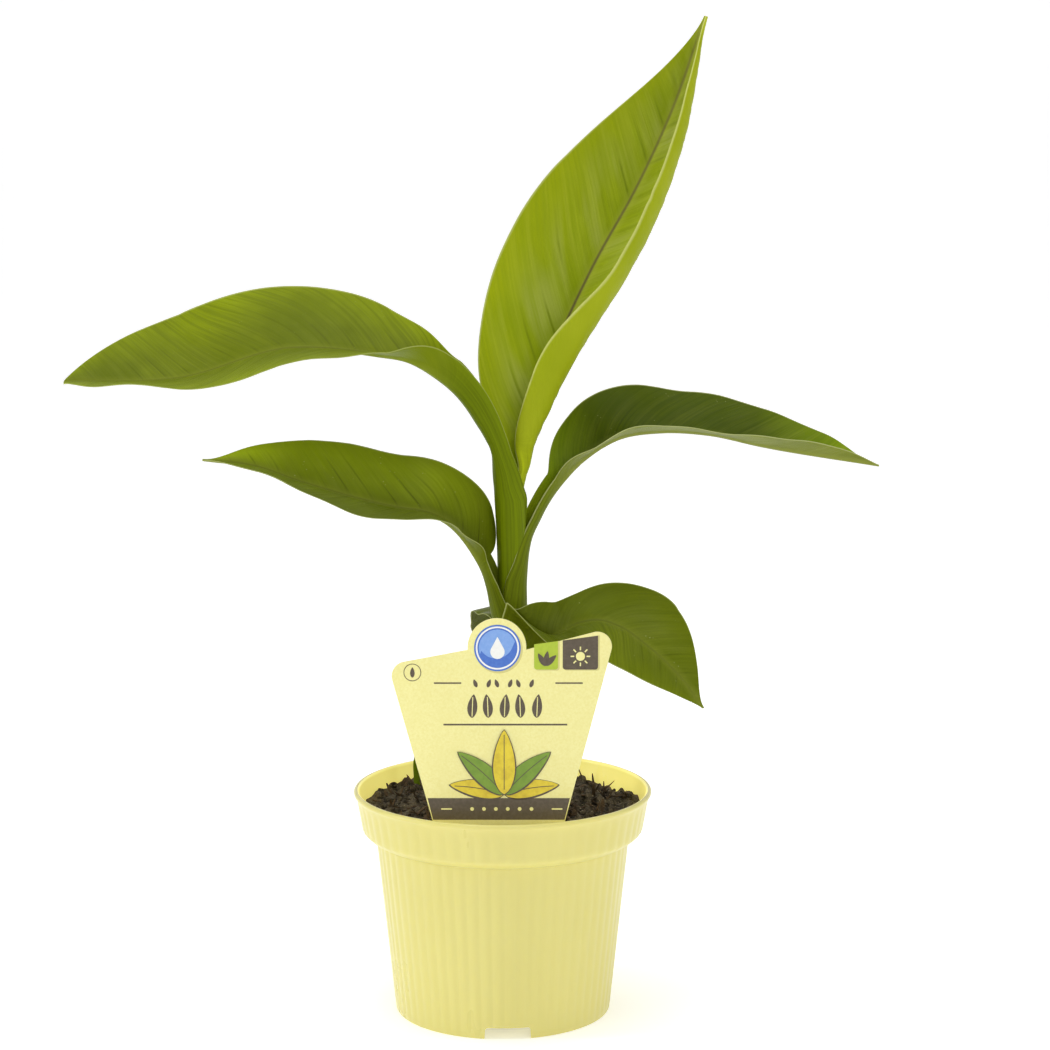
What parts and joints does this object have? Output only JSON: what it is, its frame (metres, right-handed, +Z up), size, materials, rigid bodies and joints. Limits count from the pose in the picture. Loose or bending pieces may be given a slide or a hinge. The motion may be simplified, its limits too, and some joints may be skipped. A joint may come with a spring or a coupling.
{
  "type": "potted banana plant",
  "caption": "Young hardy banana plant with arching leaves on a short pseudostem, in a tapered plastic nursery pot with a stick-in plant label.",
  "frame": {"origin": "on the pot's axis, in the plane of its flat underside", "axes": "+Z up, +X to the right as the label is read, the label's printed side towards -Y"},
  "size_m": [0.3538, 0.14, 0.4315],
  "materials": {
    "pot_plastic": "satin",
    "peat": "matte",
    "label_card": "satin",
    "stem_skin": "satin",
    "young_leaf": "satin",
    "upper_leaf": "satin",
    "old_leaf": "satin"
  },
  "bodies": {
    "root": {"pot": "pot_plastic", "soil": "peat", "plant_label": "label_card", "pseudostem": "stem_skin", "upright_leaf": "young_leaf", "upper_left_stalk": "upper_leaf", "upper_left_leaf": "upper_leaf", "lower_left_stalk": "old_leaf", "lower_left_leaf": "old_leaf", "right_stalk": "old_leaf", "right_leaf": "old_leaf", "lower_right_stalk": "old_leaf", "lower_right_leaf": "old_leaf", "back_stalk": "old_leaf", "back_leaf": "old_leaf", "offshoot": "young_leaf"}
  },
  "joints": []
}
